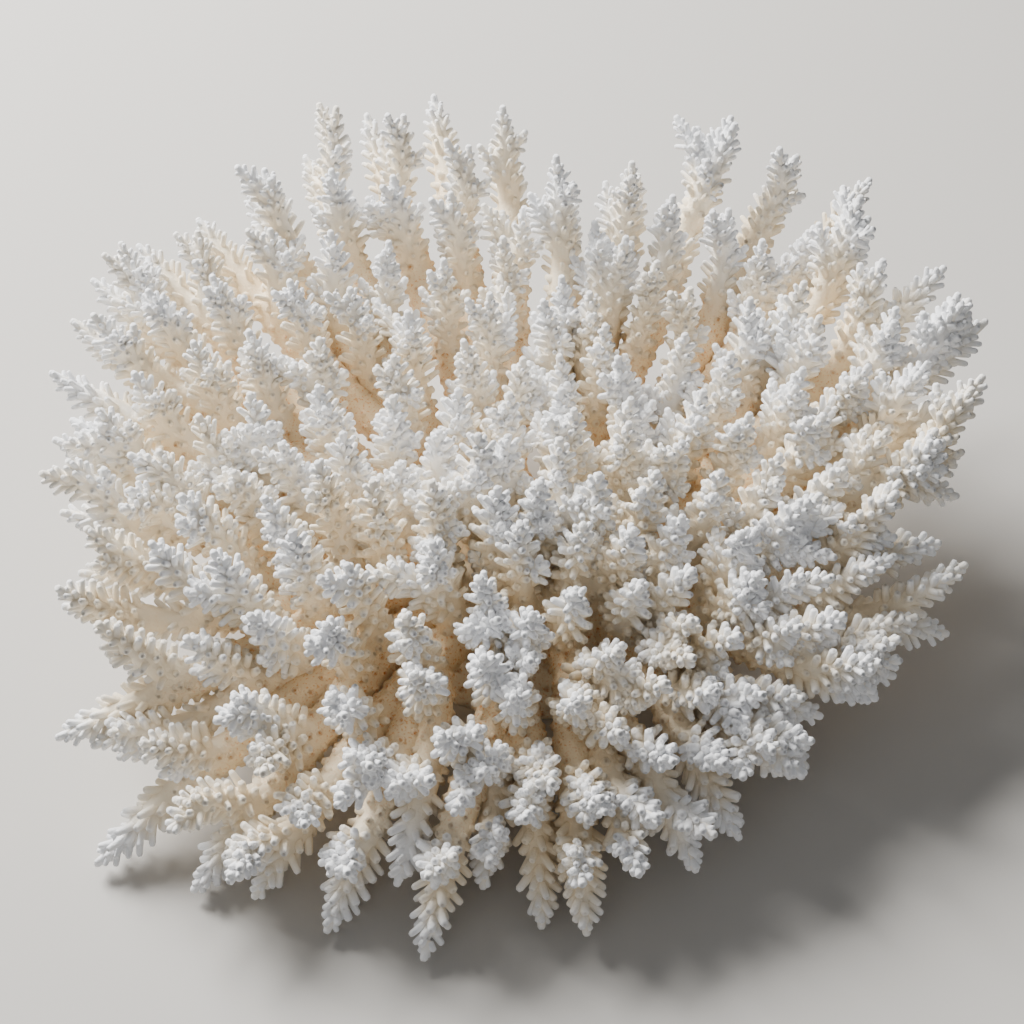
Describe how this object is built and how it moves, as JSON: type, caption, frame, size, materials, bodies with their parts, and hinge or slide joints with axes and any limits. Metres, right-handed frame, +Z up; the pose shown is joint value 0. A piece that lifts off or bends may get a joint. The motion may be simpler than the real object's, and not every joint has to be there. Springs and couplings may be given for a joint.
{
  "type": "table coral skeleton",
  "caption": "Bleached table coral skeleton: a short stalk cut flat underneath spreads into forking limbs that carry a wide drooping table of upright branchlets; stands as an ornament.",
  "frame": {"origin": "centre of the flat cut under the stalk", "axes": "+Z up out of the cut, -Y towards the low front where the table droops, +X to the right of the front"},
  "size_m": [0.2788, 0.2833, 0.1072],
  "materials": {
    "coral": "matte bleached aragonite"
  },
  "bodies": {
    "root": {"stalk": "coral", "limb_01": "coral", "limb_02": "coral", "limb_03": "coral", "limb_04": "coral", "limb_05": "coral", "limb_06": "coral", "limb_07": "coral", "limb_08": "coral", "limb_09": "coral", "limb_10": "coral", "limb_11": "coral", "limb_12": "coral", "limb_13": "coral", "limb_14": "coral", "limb_15": "coral", "limb_16": "coral", "limb_01_branch_1": "coral", "limb_02_branch_1": "coral", "limb_03_branch_1": "coral", "limb_04_branch_1": "coral", "limb_05_branch_1": "coral", "limb_05_branch_2": "coral", "limb_06_branch_1": "coral", "limb_06_branch_2": "coral", "limb_07_branch_1": "coral", "limb_07_branch_2": "coral", "limb_08_branch_1": "coral", "limb_08_branch_2": "coral", "limb_09_branch_1": "coral", "limb_09_branch_2": "coral", "limb_10_branch_1": "coral", "limb_10_branch_2": "coral", "limb_11_branch_1": "coral", "limb_11_branch_2": "coral", "limb_12_branch_1": "coral", "limb_12_branch_2": "coral", "limb_13_branch_1": "coral", "limb_13_branch_2": "coral", "limb_14_branch_1": "coral", "limb_14_branch_2": "coral", "limb_15_branch_1": "coral", "limb_15_branch_2": "coral", "limb_16_branch_1": "coral", "limb_16_branch_2": "coral"}
  },
  "joints": []
}
